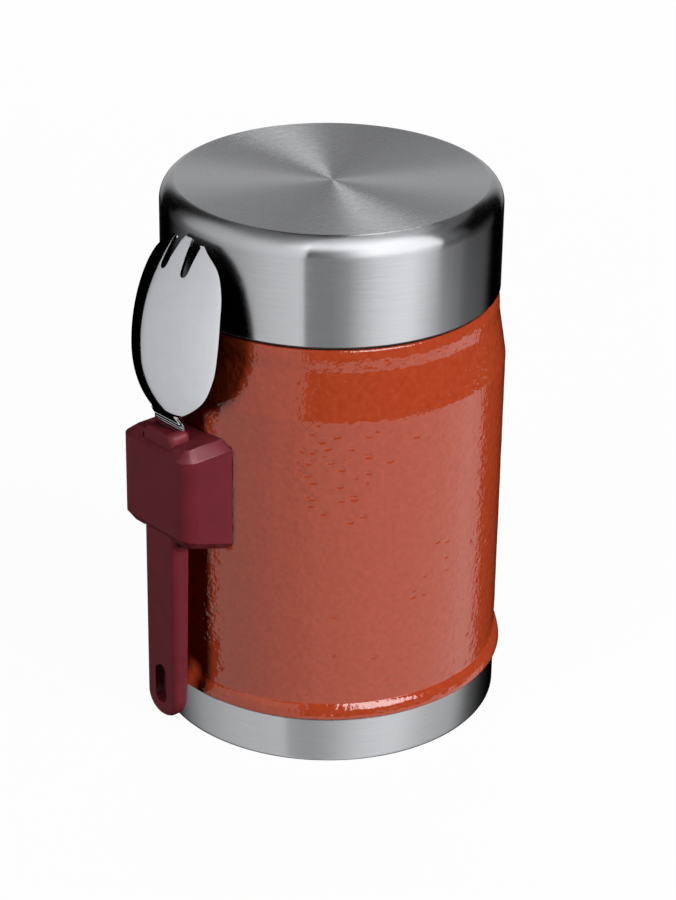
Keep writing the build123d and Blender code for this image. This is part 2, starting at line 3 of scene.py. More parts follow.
import bmesh
import bpy
import numpy as np
from mathutils import Matrix, Vector, noise


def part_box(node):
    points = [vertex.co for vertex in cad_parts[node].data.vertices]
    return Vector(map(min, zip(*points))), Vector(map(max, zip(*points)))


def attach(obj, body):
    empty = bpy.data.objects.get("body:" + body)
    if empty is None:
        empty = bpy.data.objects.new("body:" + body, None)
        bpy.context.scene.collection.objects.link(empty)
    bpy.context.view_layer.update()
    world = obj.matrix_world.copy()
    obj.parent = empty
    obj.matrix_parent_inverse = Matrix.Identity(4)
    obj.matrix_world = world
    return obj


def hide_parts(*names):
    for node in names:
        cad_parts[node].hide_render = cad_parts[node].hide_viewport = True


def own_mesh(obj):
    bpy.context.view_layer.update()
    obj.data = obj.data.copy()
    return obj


# Insulated food jar: a hammertone-painted vacuum jar with a brushed steel cup lid, a vented stopper and
# a spork in a holder on its side. Metres, in the frame of the CAD part: the axis is Z and the spork
# faces -Y.
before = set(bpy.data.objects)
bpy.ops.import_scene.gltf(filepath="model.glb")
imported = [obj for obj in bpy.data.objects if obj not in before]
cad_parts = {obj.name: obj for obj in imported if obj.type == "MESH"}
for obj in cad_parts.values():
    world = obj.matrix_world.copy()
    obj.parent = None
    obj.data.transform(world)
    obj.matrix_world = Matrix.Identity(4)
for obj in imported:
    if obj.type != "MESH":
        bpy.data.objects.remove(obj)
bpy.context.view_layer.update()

# ---------------------------------------------------------------- camera
# A long lens, above the jar and to the right of the spork, so that the lid's whole top shows.
CAMERA_AT = (0.4661, -0.4164, 0.3772)
LOOKS_AT = (0.001668, 0.001852, 0.066604)
CAMERA_ROLL = 0.8819  # degrees
FOCAL_LENGTH, FILM_LONG_SIDE = 108.39, 36  # mm
NEAREST, FURTHEST = 0.01, 20

eye = bpy.data.objects.new("camera", bpy.data.cameras.new("camera"))
bpy.context.collection.objects.link(eye)
aim = (Vector(LOOKS_AT) - Vector(CAMERA_AT)).to_track_quat("-Z", "Y").to_matrix().to_4x4()
eye.matrix_world = Matrix.Translation(CAMERA_AT) @ aim @ Matrix.Rotation(math.radians(CAMERA_ROLL), 4, "Z")
eye.data.sensor_width = FILM_LONG_SIDE
eye.data.lens = FOCAL_LENGTH
eye.data.clip_start = NEAREST
eye.data.clip_end = FURTHEST
bpy.context.scene.camera = eye

# ---------------------------------------------------------------- studio
# A white paper sweep. A soft key lights the jar from the right and a weaker box from the left, and two
# more reach its top and its back. What its gloss mirrors hangs in the section on reflections.
FILL = 0.03  # the room's own light on the object
FLOOR_SIZE = 6.0
FLOOR_WHITE = 0.965  # share of the floor's white that no shadow reaches
FLOOR_GREY = 0.9  # of the paper itself
CAMERA_AZIMUTH = 48.0  # degrees round the jar, from -Y towards +X
JAR_MIDDLE = Vector((0, 0, 0.07))
LAMP_DISTANCE = 1.2
LAMPS = [
    # (name, degrees right of the camera, degrees up, size, watts)
    ("key_softbox", 56, 20, 0.4, 14.9),
    ("left_softbox", -45, 16, 0.33, 6.3),
    ("top_softbox", 150, 70, 0.9, 0.4),
    ("back_softbox", 180, 12, 0.6, 8.0),
]


def linear(hex_colour):
    """The linear RGBA of an sRGB hex colour."""
    parts = [int(hex_colour[i:i + 2], 16) / 255 for i in (0, 2, 4)]
    return (*[p / 12.92 if p <= 0.04045 else ((p + 0.055) / 1.055) ** 2.4 for p in parts], 1.0)


def node(tree, kind, inputs=(), **settings):
    """Adds a node. Inputs pairs a socket with an output or a value, settings name properties or sockets."""
    made = tree.nodes.new("ShaderNode" + kind)
    for key, value in settings.items():
        if hasattr(made, key):
            setattr(made, key, value)
    for key, value in settings.items():
        if not hasattr(made, key):
            made.inputs[key.replace("_", " ")].default_value = value
    for socket, source in inputs:
        if isinstance(source, bpy.types.NodeSocket):
            tree.links.new(source, made.inputs[socket])
        else:
            made.inputs[socket].default_value = source
    return made


def new_material(name):
    """A material without nodes, and its tree."""
    made_of = bpy.data.materials.new(name)
    made_of.use_nodes = True
    made_of.node_tree.nodes.clear()
    return made_of, made_of.node_tree


def studio_direction(turn, rise=0.0):
    """Unit vector from the jar: turn degrees to the right of the camera, rise degrees up."""
    a, e = math.radians(CAMERA_AZIMUTH + turn), math.radians(rise)
    return Vector((math.sin(a) * math.cos(e), -math.cos(a) * math.cos(e), math.sin(e)))


world = bpy.data.worlds.new("studio")
bpy.context.scene.world = world
world.use_nodes = True
tree = world.node_tree
tree.nodes.clear()
rays = node(tree, "LightPath")
seen = node(
    tree, "Math", [(0, rays.outputs["Is Camera Ray"]), (1, rays.outputs["Is Glossy Ray"])],
    operation="MAXIMUM",
)
seen = node(
    tree, "Math", [(0, seen.outputs[0]), (1, rays.outputs["Is Transmission Ray"])], operation="MAXIMUM"
)
fill = node(tree, "Background", Color=(1, 1, 1, 1), Strength=FILL)
white = node(tree, "Background", Color=(1, 1, 1, 1), Strength=1.0)
sky = node(tree, "MixShader", [(0, seen.outputs[0]), (1, fill.outputs[0]), (2, white.outputs[0])])
node(tree, "OutputWorld", [("Surface", sky.outputs[0])])

# matt paper: an even white that still takes the jar's soft shadow
paper, tree = new_material("matt white paper sweep")
rays = node(tree, "LightPath")
plain = node(tree, "BsdfDiffuse", Color=(FLOOR_GREY, FLOOR_GREY, FLOOR_GREY, 1))
glow = node(tree, "Emission", Color=(1, 1, 1, 1), Strength=1.0)
share = node(tree, "Math", [(0, rays.outputs["Is Camera Ray"]), (1, FLOOR_WHITE)], operation="MULTIPLY")
look = node(tree, "MixShader", [(0, share.outputs[0]), (1, plain.outputs[0]), (2, glow.outputs[0])])
node(tree, "OutputMaterial", [("Surface", look.outputs[0])])
mesh = bpy.data.meshes.new("floor")
half = FLOOR_SIZE / 2
mesh.from_pydata([(-half, -half, 0), (half, -half, 0), (half, half, 0), (-half, half, 0)], [], [(0, 1, 2, 3)])
mesh.materials.append(paper)
floor = bpy.data.objects.new("floor", mesh)
bpy.context.collection.objects.link(floor)
floor.visible_glossy = False
floor.visible_diffuse = False

for name, turn, rise, size, power in LAMPS:
    lamp = bpy.data.lights.new(name, "AREA")
    lamp.shape = "SQUARE"
    lamp.size = size
    lamp.energy = power
    stand = bpy.data.objects.new(name, lamp)
    bpy.context.collection.objects.link(stand)
    stand.location = studio_direction(turn, rise) * LAMP_DISTANCE + JAR_MIDDLE
    stand.rotation_euler = (-studio_direction(turn, rise)).to_track_quat("-Z", "Y").to_euler()
    stand.visible_glossy = False
    stand.visible_camera = False

# ---------------------------------------------------------------- painted shell
# The jar's outer tube, drawn from one steel sheet, with a rolled bead near its foot. Hammertone
# enamel is baked on it up to the ledge, and dries into shallow dimples. The neck's thread is bare.
MM = 0.001
BODY_RADIUS, NECK_RADIUS = 44.45, 38.6  # mm
SHELL_OUTSIDE = [
    # (radius, height, rounding) in mm, from the stub inside the base cup to the ledge
    (43.8, 1.2, 0), (43.8, 13.4, 0), (45.85, 13.4, 0.5), (45.85, 14.4, 9.0), (45.55, 15.95, 9.0),
    (44.95, 17.0, 3.0), (BODY_RADIUS, 17.4, 0.15), (BODY_RADIUS, 96.0, 9.0), (42.52, 107.8, 3.0),
    (42.46, 111.2, 8.0), (42.0, 113.5, 0.6), (39.2, 113.5, 0),
]
SHELL_NECK = [(39.2, 113.5, 0), (NECK_RADIUS, 113.5, 0), (NECK_RADIUS, 127.45, 0.3), (38.0, 127.45, 0)]
SHELL_INSIDE = [
    (38.0, 127.45, 0), (38.0, 112.9, 0), (41.85, 112.9, 0.5), (41.85, 106.6, 3.0), (43.85, 96.0, 6.0),
    (43.85, 18.3, 0), (43.2, 13.4, 0), (43.2, 1.2, 0), (43.8, 1.2, 0),
]
THREAD_STARTS, THREAD_TURN = 4, 70.0  # each start's ridge goes this many degrees round
THREAD_RIDGE, THREAD_LEAD, THREAD_LOW = 1.3, 16.0, 119.5  # height, rise in a turn and lower end, mm
THREAD_ROOT, THREAD_CREST, THREAD_SUNK = 1.5, 0.7, 0.2  # widths, and how deep the root sits, mm
THREAD_FADE = 10.0  # degrees at each end
STUB_REACH = 44.0 * MM  # the stub inside the base cup, primed black as painted shade, lies within this radius
PAINTED_FROM, PAINTED_TO = 13.4 * MM, 113.6 * MM
FADE_OUT = 2 * MM  # over which the dimples end
SIDES = 512  # round the jar
SAME_PLACE = 0.002 * MM  # points this close are one
CREASE = 40.0  # degrees, past which two faces meet in an edge
RELIEF_STEP = 0.6 * MM
DIMPLE, DIMPLE_DEPTH = 2.8 * MM, 0.11 * MM  # from dimple to dimple
GRAIN, GRAIN_DEPTH = 0.9 * MM, 0.012 * MM
CLOUD = 1.6 * MM  # patch of one shade
RIPPLE, RIPPLE_DEPTH = 1.3 * MM, 0.13 * MM
PIT_ACROSS, PIT_UP, PIT_DEPTH = 3.4 * MM, 2.3 * MM, 0.1 * MM  # from pit to pit
DRIFT_AT, DRIFT_REACH = (33.0 * MM, -29.8 * MM, 83.0 * MM), 18.0 * MM  # the thickest drift of pits
PITS_BELOW = 94 * MM  # the shoulder's cone has none
STRAY_PATCH = 22 * MM


def rounded_line(corners, arc_steps=8):
    """Points in metres along a profile of (radius, height, rounding) corners in mm."""
    line = []
    for i, (r, z, rounding) in enumerate(corners):
        here = Vector((r, z))
        if not rounding:
            line.append(here * MM)
            continue
        back = Vector(corners[i - 1][:2]) - here
        on = Vector(corners[i + 1][:2]) - here
        turn = math.pi - back.angle(on)
        reach = min(rounding * math.tan(turn / 2), 0.49 * back.length, 0.49 * on.length)
        radius = reach / math.tan(turn / 2)
        middle = here + (back.normalized() + on.normalized()).normalized() * math.hypot(reach, radius)
        first = here + back.normalized() * reach - middle
        last = here + on.normalized() * reach - middle
        for s in range(arc_steps + 1):
            share = s / arc_steps
            spoke = (first * math.sin((1 - share) * turn) + last * math.sin(share * turn)) / math.sin(turn)
            line.append((middle + spoke) * MM)
    return line


def no_further(line, step):
    """The same line with points no further apart than step."""
    dense = [line[0]]
    for a, b in zip(line, line[1:]):
        count = max(1, math.ceil((b - a).length / step))
        dense += [a + (b - a) * (k / count) for k in range(1, count + 1)]
    return dense


def turned(mesh, line, sides, sink=None, finish=0):
    """Adds a surface turned about Z to a bmesh. sink(point) is how far a point lies inside the line."""
    rings = []
    for p in line:
        ring = []
        for k in range(sides):
            a = 2 * math.pi * k / sides
            spot = Vector((math.cos(a) * p.x, math.sin(a) * p.x, p.y))
            if sink:
                spot -= Vector((math.cos(a), math.sin(a), 0)) * sink(spot)
            ring.append(mesh.verts.new(spot))
        rings.append(ring)
    for low, high in zip(rings, rings[1:]):
        for k in range(sides):
            n = (k + 1) % sides
            mesh.faces.new((low[k], low[n], high[n], high[k])).material_index = finish


def hammered(spot):
    """Depth of the enamel's dimples at a place, none where the paint ends."""
    edge = min(spot.z - PAINTED_FROM, PAINTED_TO - spot.z) / FADE_OUT
    if edge <= 0:
        return 0.0
    swell = noise.noise(spot / DIMPLE) + 0.5 * noise.noise(spot / (0.45 * DIMPLE))
    return min(1.0, edge) * (DIMPLE_DEPTH * (0.45 + 0.45 * swell) + GRAIN_DEPTH * noise.noise(spot / GRAIN))


def thread_ridge(mesh, start, finish, steps=48):
    """Adds one ridge of the neck's thread to a bmesh, from start degrees on. It fades out at both ends."""
    sunk = NECK_RADIUS - THREAD_SUNK
    rings = []
    for i in range(steps + 1):
        a = THREAD_TURN * i / steps
        rise = min(1.0, (min(a, THREAD_TURN - a) + 0.5) / THREAD_FADE)
        crest = NECK_RADIUS + THREAD_RIDGE * rise
        z = THREAD_LOW + THREAD_LEAD * a / 360
        way = math.radians(start + a)
        ring = []
        for r, dz in ((sunk, -THREAD_ROOT / 2), (crest, -THREAD_CREST / 2), (crest, THREAD_CREST / 2),
                      (sunk, THREAD_ROOT / 2)):
            ring.append(mesh.verts.new(Vector((math.cos(way) * r, math.sin(way) * r, z + dz)) * MM))
        rings.append(ring)
    for here, there in zip(rings, rings[1:]):
        for k in range(4):
            n = (k + 1) % 4
            mesh.faces.new((here[k], there[k], there[n], here[n])).material_index = finish
    for ring in (rings[0], rings[-1]):
        mesh.faces.new(ring).material_index = finish


def placed(name, made, *materials):
    """An object of a bmesh, with smooth faces."""
    bmesh.ops.remove_doubles(made, verts=made.verts, dist=SAME_PLACE)
    bmesh.ops.recalc_face_normals(made, faces=made.faces)
    mesh = bpy.data.meshes.new(name)
    made.to_mesh(mesh)
    made.free()
    for material in materials:
        mesh.materials.append(material)
    mesh.shade_smooth()
    mesh.set_sharp_from_angle(angle=math.radians(CREASE))
    shown = bpy.data.objects.new(name, mesh)
    bpy.context.collection.objects.link(shown)
    return shown


# enamel: a wet gloss over a warm orange-red, whose ripples and pits break up every reflection's edge
enamel, tree = new_material("hammertone enamel, baked")
place = node(tree, "TexCoord")
cloud = node(tree, "TexNoise", [("Vector", place.outputs["Object"])], Scale=1 / CLOUD, Detail=4.0)
tint = node(tree, "ValToRGB", [("Fac", cloud.outputs["Fac"])])
tint.color_ramp.elements[0].color = linear("A83E20")
tint.color_ramp.elements[0].position = 0.3
tint.color_ramp.elements[1].color = linear("B24628")
tint.color_ramp.elements[1].position = 0.7
ripple = node(tree, "TexNoise", [("Vector", place.outputs["Object"])], Scale=1 / RIPPLE, Detail=1.5)
rippled = node(tree, "Bump", [("Height", ripple.outputs["Fac"])], Strength=1.0, Distance=RIPPLE_DEPTH)
# pits where the enamel drew back as it dried, wider than they are high: cells on the unrolled wall
apart = node(tree, "SeparateXYZ", [("Vector", place.outputs["Object"])])
round_it = node(tree, "Math", [(0, apart.outputs["Y"]), (1, apart.outputs["X"])], operation="ARCTAN2")
across = node(
    tree, "Math", [(0, round_it.outputs[0]), (1, BODY_RADIUS * MM / PIT_ACROSS)], operation="MULTIPLY"
)
upward = node(tree, "Math", [(0, apart.outputs["Z"]), (1, 1 / PIT_UP)], operation="MULTIPLY")
unrolled = node(tree, "CombineXYZ", [("X", across.outputs[0]), ("Y", upward.outputs[0])])
pit = node(tree, "TexVoronoi", [("Vector", unrolled.outputs[0])], voronoi_dimensions="2D", Scale=1.0)
# how likely a cell holds a pit: often in the drift, seldom in stray patches
away = node(tree, "VectorMath", [(0, place.outputs["Object"]), (1, DRIFT_AT)], operation="DISTANCE")
thick = node(
    tree, "MapRange", [("Value", away.outputs["Value"])],
    From_Min=0.3 * DRIFT_REACH, From_Max=DRIFT_REACH, To_Min=0.8, To_Max=0.0,
)
patch = node(tree, "TexNoise", [("Vector", place.outputs["Object"])], Scale=1 / STRAY_PATCH, Detail=0.0)
stray = node(
    tree, "MapRange", [("Value", patch.outputs["Fac"])], From_Min=0.52, From_Max=0.7, To_Min=0.0, To_Max=0.16
)
chance = node(tree, "Math", [(0, thick.outputs[0]), (1, stray.outputs[0])], operation="ADD")
below = node(tree, "Math", [(0, apart.outputs["Z"]), (1, PITS_BELOW)], operation="LESS_THAN")
chance = node(tree, "Math", [(0, chance.outputs[0]), (1, below.outputs[0])], operation="MULTIPLY")
draw = node(tree, "SeparateColor", [("Color", pit.outputs["Color"])])
there = node(tree, "Math", [(0, draw.outputs["Red"]), (1, chance.outputs[0])], operation="LESS_THAN")
bowl = node(
    tree, "MapRange", [("Value", pit.outputs["Distance"])], interpolation_type="SMOOTHSTEP",
    From_Min=0.08, From_Max=0.4, To_Min=0.0, To_Max=1.0,
)
level = node(tree, "Mix", [("Factor", there.outputs[0]), (2, 1.0), (3, bowl.outputs[0])], data_type="FLOAT")
flow = node(
    tree, "Bump", [("Height", level.outputs[0]), ("Normal", rippled.outputs[0])],
    Strength=1.0, Distance=PIT_DEPTH,
)
skin = node(
    tree, "BsdfPrincipled",
    [("Base Color", tint.outputs["Color"]), ("Normal", flow.outputs[0]), ("Coat Normal", flow.outputs[0])],
    Roughness=0.6, Specular_IOR_Level=0.0, Coat_Weight=1.0, Coat_Roughness=0.02, Coat_IOR=1.55,
)
node(tree, "OutputMaterial", [("Surface", skin.outputs[0])])

# drawn steel: a satin grey with long faint marks the way it was drawn
DRAWN_MARK = (0.5 * MM, 0.5 * MM, 12 * MM)
drawn, tree = new_material("stainless steel, drawn")
place = node(tree, "TexCoord")
per_mark = [1 / size for size in DRAWN_MARK]
long = node(tree, "Mapping", [("Vector", place.outputs["Object"]), ("Scale", per_mark)])
marks = node(tree, "TexNoise", [("Vector", long.outputs[0])], Scale=1.0, Detail=3.0)
worn = node(
    tree, "MapRange", [("Value", marks.outputs["Fac"])], From_Min=0.3, From_Max=0.7, To_Min=0.24, To_Max=0.4
)
tint = node(tree, "ValToRGB", [("Fac", marks.outputs["Fac"])])
tint.color_ramp.elements[0].color = linear("B9B9B9")
tint.color_ramp.elements[0].position = 0.3
tint.color_ramp.elements[1].color = linear("CBCBCB")
tint.color_ramp.elements[1].position = 0.7
skin = node(
    tree, "BsdfPrincipled", [("Roughness", worn.outputs[0]), ("Base Color", tint.outputs["Color"])],
    Metallic=1.0,
)
node(tree, "OutputMaterial", [("Surface", skin.outputs[0])])

# primer: a dull black line where the enamel stops, under the lid and under the bead; its black is
# painted shade, standing in for the shade in the gaps there
PRIMER_CLOUD = 0.8 * MM
shade_primer, tree = new_material("primer, baked black")
place = node(tree, "TexCoord")
cloud = node(tree, "TexNoise", [("Vector", place.outputs["Object"])], Scale=1 / PRIMER_CLOUD, Detail=2.0)
tint = node(tree, "ValToRGB", [("Fac", cloud.outputs["Fac"])])
tint.color_ramp.elements[0].color = linear("0C0A0A")
tint.color_ramp.elements[1].color = linear("171414")
skin = node(
    tree, "BsdfPrincipled", [("Base Color", tint.outputs["Color"])], Roughness=0.7, Specular_IOR_Level=0.2
)
node(tree, "OutputMaterial", [("Surface", skin.outputs[0])])

# the stub and the flat ledge get the black primer, whose black is painted shade for the gaps
PAINT, BARE, PRIMED_SHADE = 0, 1, 2
made = bmesh.new()
outside = rounded_line(SHELL_OUTSIDE)
first_painted = next(i for i, p in enumerate(outside) if p.x > STUB_REACH)
turned(made, outside[:first_painted + 1], SIDES, finish=PRIMED_SHADE)
turned(made, no_further(outside[first_painted:-1], RELIEF_STEP), SIDES, hammered, finish=PAINT)
turned(made, outside[-2:], SIDES, finish=PRIMED_SHADE)
turned(made, rounded_line(SHELL_NECK), SIDES, finish=BARE)
turned(made, rounded_line(SHELL_INSIDE), SIDES, finish=BARE)
for k in range(THREAD_STARTS):
    thread_ridge(made, 360 / THREAD_STARTS * k, BARE)
painted = placed("painted_shell", made, enamel, drawn, shade_primer)
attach(painted, "jar")
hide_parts("outer_shell")

# ---------------------------------------------------------------- vessel and vacuum gap
# The food vessel, the gap's bottom, the pellet's clip and the holder's rail are drawn steel, welded to
# the shell or to each other. In the gap, foil throws back the food's heat, a glass bead closes the
# pump-out hole, and a pellet of pressed powder takes up the last gas.


def mottled(name, dark, pale, patch, smoothest, roughest, grain, depth, **settings):
    """A material whose colour and roughness drift over patches, with a fine grain. Lengths in mm."""
    made_of, tree = new_material(name)
    place = node(tree, "TexCoord")
    cloud = node(tree, "TexNoise", [("Vector", place.outputs["Object"])], Scale=1 / (patch * MM), Detail=4.0)
    tint = node(tree, "ValToRGB", [("Fac", cloud.outputs["Fac"])])
    tint.color_ramp.elements[0].color = linear(dark)
    tint.color_ramp.elements[0].position = 0.3
    tint.color_ramp.elements[1].color = linear(pale)
    tint.color_ramp.elements[1].position = 0.7
    worn = node(
        tree, "MapRange", [("Value", cloud.outputs["Fac"])],
        From_Min=0.3, From_Max=0.7, To_Min=smoothest, To_Max=roughest,
    )
    cell = node(tree, "TexNoise", [("Vector", place.outputs["Object"])], Scale=1 / (grain * MM), Detail=2.0)
    bumpy = node(tree, "Bump", [("Height", cell.outputs["Fac"])], Strength=0.7, Distance=depth * MM)
    skin = node(
        tree, "BsdfPrincipled",
        [("Base Color", tint.outputs["Color"]), ("Roughness", worn.outputs[0]), ("Normal", bumpy.outputs[0])],
        **settings,
    )
    node(tree, "OutputMaterial", [("Surface", skin.outputs[0])])
    return made_of


def finish(made_of, *names):
    """Gives CAD nodes a material."""
    for name in names:
        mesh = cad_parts[name].data
        mesh.materials.clear()
        mesh.materials.append(made_of)


finish(drawn, "inner_vessel", "vacuum_bottom", "getter_clip", "holder_rail")
# foil: bright creases that catch the light in flakes
foil = mottled("aluminium foil, crinkled", "C9CACC", "DFE0E2", 2.0, 0.15, 0.35, 4.0, 0.35, Metallic=1.0)
finish(foil, "reflective_foil")
# solder glass: a dark greenish drop with a melted shine
glass_bead = mottled("solder glass, fired", "3A413C", "4B534D", 1.2, 0.08, 0.18, 0.9, 0.02)
finish(glass_bead, "vacuum_seal")
# getter: a dull, gritty dark grey
pellet = mottled(
    "getter alloy, pressed and sintered powder", "38383A", "4E4E51", 0.5, 0.7, 0.85, 0.3, 0.05, Metallic=0.5
)
finish(pellet, "getter")

# ---------------------------------------------------------------- base cup
# A shallow cup drawn from stainless sheet, pressed over the shell's stub up to the bead. A ring is
# stamped up into its floor, and its side is brushed round on a lathe.
BRUSH_LINE = 0.22 * MM  # a real line is 0.05 mm wide, drawn coarser so that it shows
BRUSH_LENGTH = 0.2  # of the turn round the axis, in radians
BASE_OUTSIDE = [
    # (radius, height, rounding) in mm, from the middle of the foot to the cup's lip
    (0, 0, 0), (23, 0, 0.2), (23.5, 0.5, 0.2), (30.5, 0.5, 0.2), (31, 0, 0.2), (44.5, 0, 1.6),
    (44.5, 12.4, 0.5), (44.05, 13.0, 0.1), (43.9, 13.0, 0.05), (43.9, 0.6, 1.0), (31, 0.6, 0),
    (30.5, 1.1, 0), (23.5, 1.1, 0), (23, 0.6, 0), (0, 0.6, 0),
]


def brushed_steel(name, smoothest, roughest, darkest, palest):
    """Steel with fine lines round Z. Its roughness and its colour change from line to line."""
    steel, tree = new_material(name)
    around = node(tree, "Tangent", direction_type="RADIAL", axis="Z")
    place = node(tree, "TexCoord")
    apart = node(tree, "SeparateXYZ", [("Vector", place.outputs["Object"])])
    flat = node(tree, "CombineXYZ", [("X", apart.outputs["X"]), ("Y", apart.outputs["Y"])])
    radius = node(tree, "VectorMath", [(0, flat.outputs[0])], operation="LENGTH")
    across = node(tree, "Math", [(0, radius.outputs["Value"]), (1, apart.outputs["Z"])], operation="SUBTRACT")
    heading = node(tree, "VectorMath", [(0, flat.outputs[0])], operation="NORMALIZE")
    spread = node(
        tree, "VectorMath", [(0, heading.outputs[0]), ("Scale", 1 / BRUSH_LENGTH)], operation="SCALE"
    )
    fine = node(tree, "Math", [(0, across.outputs[0]), (1, 1 / BRUSH_LINE)], operation="MULTIPLY")
    stroke = node(tree, "CombineXYZ", [("Z", fine.outputs[0])])
    stroke = node(tree, "VectorMath", [(0, stroke.outputs[0]), (1, spread.outputs[0])], operation="ADD")
    lines = node(tree, "TexNoise", [("Vector", stroke.outputs[0])], Scale=1.0, Detail=3.0, Roughness=0.7)
    rubbed = node(
        tree, "MapRange", [("Value", lines.outputs["Fac"])],
        From_Min=0.3, From_Max=0.7, To_Min=smoothest, To_Max=roughest,
    )
    tone = node(tree, "ValToRGB", [("Fac", lines.outputs["Fac"])])
    tone.color_ramp.elements[0].color = linear(darkest)
    tone.color_ramp.elements[0].position = 0.25
    tone.color_ramp.elements[1].color = linear(palest)
    tone.color_ramp.elements[1].position = 0.75
    skin = node(
        tree, "BsdfPrincipled",
        [("Tangent", around.outputs[0]), ("Roughness", rubbed.outputs[0]),
         ("Base Color", tone.outputs["Color"])],
        Metallic=1.0, Anisotropic=1.0, Anisotropic_Rotation=0.25,
    )
    node(tree, "OutputMaterial", [("Surface", skin.outputs[0])])
    return steel


# brushed steel: a silver whose lines round the side draw each reflection out into upright bands
brushed = brushed_steel("stainless steel, brushed round", 0.16, 0.22, "CACBCE", "D5D6D9")
made = bmesh.new()
turned(made, rounded_line(BASE_OUTSIDE), SIDES)
base = placed("base_foot_cup", made, brushed)
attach(base, "jar")
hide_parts("base_cup")

# ---------------------------------------------------------------- holder, handle and button
# The spork's holder and its handle, and the stopper's vent button, are moulded from one polypropylene
# with a fine matt grain. The holder hangs on a rail, and the handle slides in it.
PLUM_PATCH, ETCH, ETCH_DEPTH = 5 * MM, 0.35 * MM, 0.02 * MM  # a real etch is finer, drawn so that it shows
MOULDED_EDGES = {"spork_holder": 0.55, "spork_handle": 0.4, "vent_button": 0.3}  # mm of rounding

# matt plum: a deep wine red whose edges alone catch a soft sheen
plum, tree = new_material("polypropylene, moulded matt")
place = node(tree, "TexCoord")
cloud = node(
    tree, "TexNoise", [("Vector", place.outputs["Object"])], Scale=1 / PLUM_PATCH, Detail=5.0, Roughness=0.6
)
tint = node(tree, "ValToRGB", [("Fac", cloud.outputs["Fac"])])
tint.color_ramp.elements[0].color = linear("67222B")
tint.color_ramp.elements[0].position = 0.3
tint.color_ramp.elements[1].color = linear("6F2630")
tint.color_ramp.elements[1].position = 0.7
etch = node(tree, "TexNoise", [("Vector", place.outputs["Object"])], Scale=1 / ETCH, Detail=2.0)
etched = node(tree, "Bump", [("Height", etch.outputs["Fac"])], Strength=0.6, Distance=ETCH_DEPTH)
worn = node(
    tree, "MapRange", [("Value", cloud.outputs["Fac"])], From_Min=0.3, From_Max=0.7, To_Min=0.38, To_Max=0.48
)
skin = node(
    tree, "BsdfPrincipled",
    [("Base Color", tint.outputs["Color"]), ("Roughness", worn.outputs[0]), ("Normal", etched.outputs[0])],
)
node(tree, "OutputMaterial", [("Surface", skin.outputs[0])])

finish(plum, *MOULDED_EDGES)
for name, rounding in MOULDED_EDGES.items():
    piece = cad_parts[name]
    joined = piece.modifiers.new("joined", "WELD")
    joined.merge_threshold = 0.01 * MM
    soften = piece.modifiers.new("edges", "BEVEL")
    soften.width = rounding * MM
    soften.segments = 3
    soften.limit_method = "ANGLE"
    soften.angle_limit = math.radians(35)
    soften.use_clamp_overlap = True
    evened = piece.modifiers.new("evened", "WEIGHTED_NORMAL")
    evened.keep_sharp = False

# ---------------------------------------------------------------- stopper and lid lining
# The stopper, its cover and the lining glued into the lid are moulded from charcoal polypropylene.
# Silicone rings seal them, and rigid foam fills the hollows of stopper and lid.

# charcoal plastic: a near black with a soft satin sheen
charcoal = mottled("polypropylene, moulded satin", "2C2C2E", "343437", 8.0, 0.34, 0.44, 0.4, 0.012)
finish(charcoal, "lid_liner", "stopper_body", "stopper_cap")
# silicone: a dull grey without highlights
rubber = mottled("silicone rubber, moulded", "3A3A3C", "444447", 3.0, 0.5, 0.6, 0.25, 0.008)
finish(rubber, "lid_gasket", "stopper_gasket", "vent_seal")
# foam: a cream colour full of small cells
foam = mottled("polyurethane foam, rigid", "D9D2BC", "EBE6D6", 1.5, 0.85, 0.95, 0.5, 0.15)
finish(foam, "lid_insulation", "stopper_insulation")

# ---------------------------------------------------------------- return spring
# Wound from spring wire. It stands in the stopper's bore under the button.
SPRING_WIRE, SPRING_TURNS = 0.6 * MM, 5
AROUND_WIRE, AROUND_COIL = 12, 40

# spring wire: a clean hard shine along each turn
wire = mottled("spring steel, drawn wire", "A9A9AC", "BDBDC0", 1.0, 0.2, 0.3, 0.3, 0.004, Metallic=1.0)
spring_foot, spring_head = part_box("vent_spring")
coil_radius = spring_head[0] - SPRING_WIRE / 2
coil_rise = spring_head[2] - spring_foot[2] - SPRING_WIRE
made = bmesh.new()
rings = []
for step in range(SPRING_TURNS * AROUND_COIL + 1):
    a = 2 * math.pi * step / AROUND_COIL
    outward = Vector((math.cos(a), math.sin(a), 0))
    climb = coil_rise / (2 * math.pi * SPRING_TURNS)
    ahead = Vector((-math.sin(a) * coil_radius, math.cos(a) * coil_radius, climb))
    upright = outward.cross(ahead.normalized())
    middle = outward * coil_radius
    middle.z = spring_foot[2] + SPRING_WIRE / 2 + coil_rise * step / (SPRING_TURNS * AROUND_COIL)
    ring = []
    for k in range(AROUND_WIRE):
        b = 2 * math.pi * k / AROUND_WIRE
        spoke = outward * math.cos(b) + upright * math.sin(b)
        ring.append(made.verts.new(middle + SPRING_WIRE / 2 * spoke))
    rings.append(ring)
for here, there in zip(rings, rings[1:]):
    for k in range(AROUND_WIRE):
        n = (k + 1) % AROUND_WIRE
        made.faces.new((here[k], here[n], there[n], there[k]))
made.faces.new(rings[0])
made.faces.new(rings[-1])
coil = placed("return_spring", made, wire)
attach(coil, "stopper")
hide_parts("vent_spring")
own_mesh(coil)

# ---------------------------------------------------------------- cup lid
# Drawn from stainless sheet, brushed round its side like the base cup. Its dished top is turned, so
# that fine rings throw fans of light, and its lower edge is rolled into a hem.
LID_RADIUS, LID_LOW, LID_TOP, LID_CORNER, LID_SHEET = 42.5, 114.4, 142.0, 5.9, 0.6  # mm
TURNED_MIDDLE, TURNED_EDGE, TURNED_RISE = 140.7, 38.55, 0.92  # the dished top's height, radius and depth, mm
CORNER_FROM = 22  # degrees, where the rolled corner starts beside the turned top
HEM = 0.3  # mm, half the thickness of the rolled lower edge


